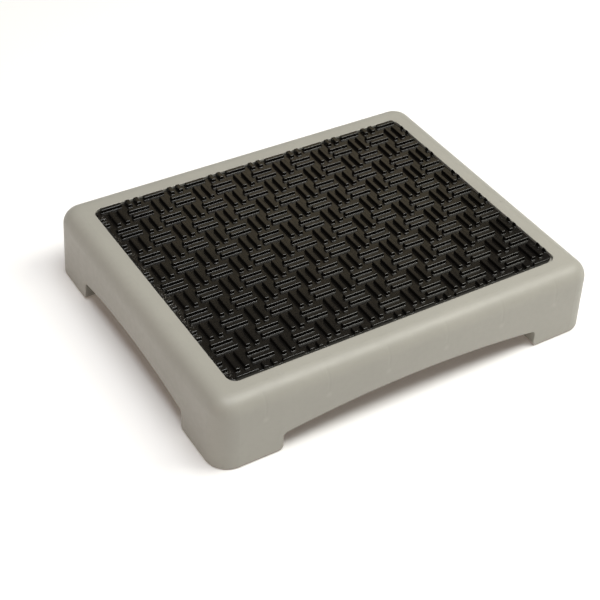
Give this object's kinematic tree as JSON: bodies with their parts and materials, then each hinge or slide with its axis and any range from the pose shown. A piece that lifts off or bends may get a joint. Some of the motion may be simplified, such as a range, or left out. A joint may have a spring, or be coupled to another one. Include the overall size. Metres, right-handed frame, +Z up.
{
  "type": "moulded platform step",
  "caption": "Low fixed plastic platform step with hollow corner legs, arched sides, a bonded basket-weave rubber tread mat in a recess, and rubber feet screwed into the legs.",
  "frame": {"origin": "on the floor under the middle of the step, between its four feet", "axes": "+X along the long side to the right as seen from the front, +Y to the rear, +Z up"},
  "size_m": [0.489, 0.394, 0.089],
  "materials": {
    "shell_plastic": "fine-grained warm light grey moulding, satin on the rolled edge",
    "mat_rubber": "moulded black-brown rubber with a slight gloss",
    "adhesive_film": "translucent cream transfer adhesive",
    "foot_rubber": "matt black moulded rubber",
    "fastener_steel": "zinc-plated steel"
  },
  "bodies": {
    "root": {"platform_shell": "shell_plastic", "tread_mat": "mat_rubber", "mat_adhesive": "adhesive_film", "foot_pad_front_left": "foot_rubber", "foot_pad_front_right": "foot_rubber", "foot_pad_rear_left": "foot_rubber", "foot_pad_rear_right": "foot_rubber", "foot_washer_front_left": "fastener_steel", "foot_washer_front_right": "fastener_steel", "foot_washer_rear_left": "fastener_steel", "foot_washer_rear_right": "fastener_steel", "foot_screw_front_left": "fastener_steel", "foot_screw_front_right": "fastener_steel", "foot_screw_rear_left": "fastener_steel", "foot_screw_rear_right": "fastener_steel"}
  },
  "joints": []
}
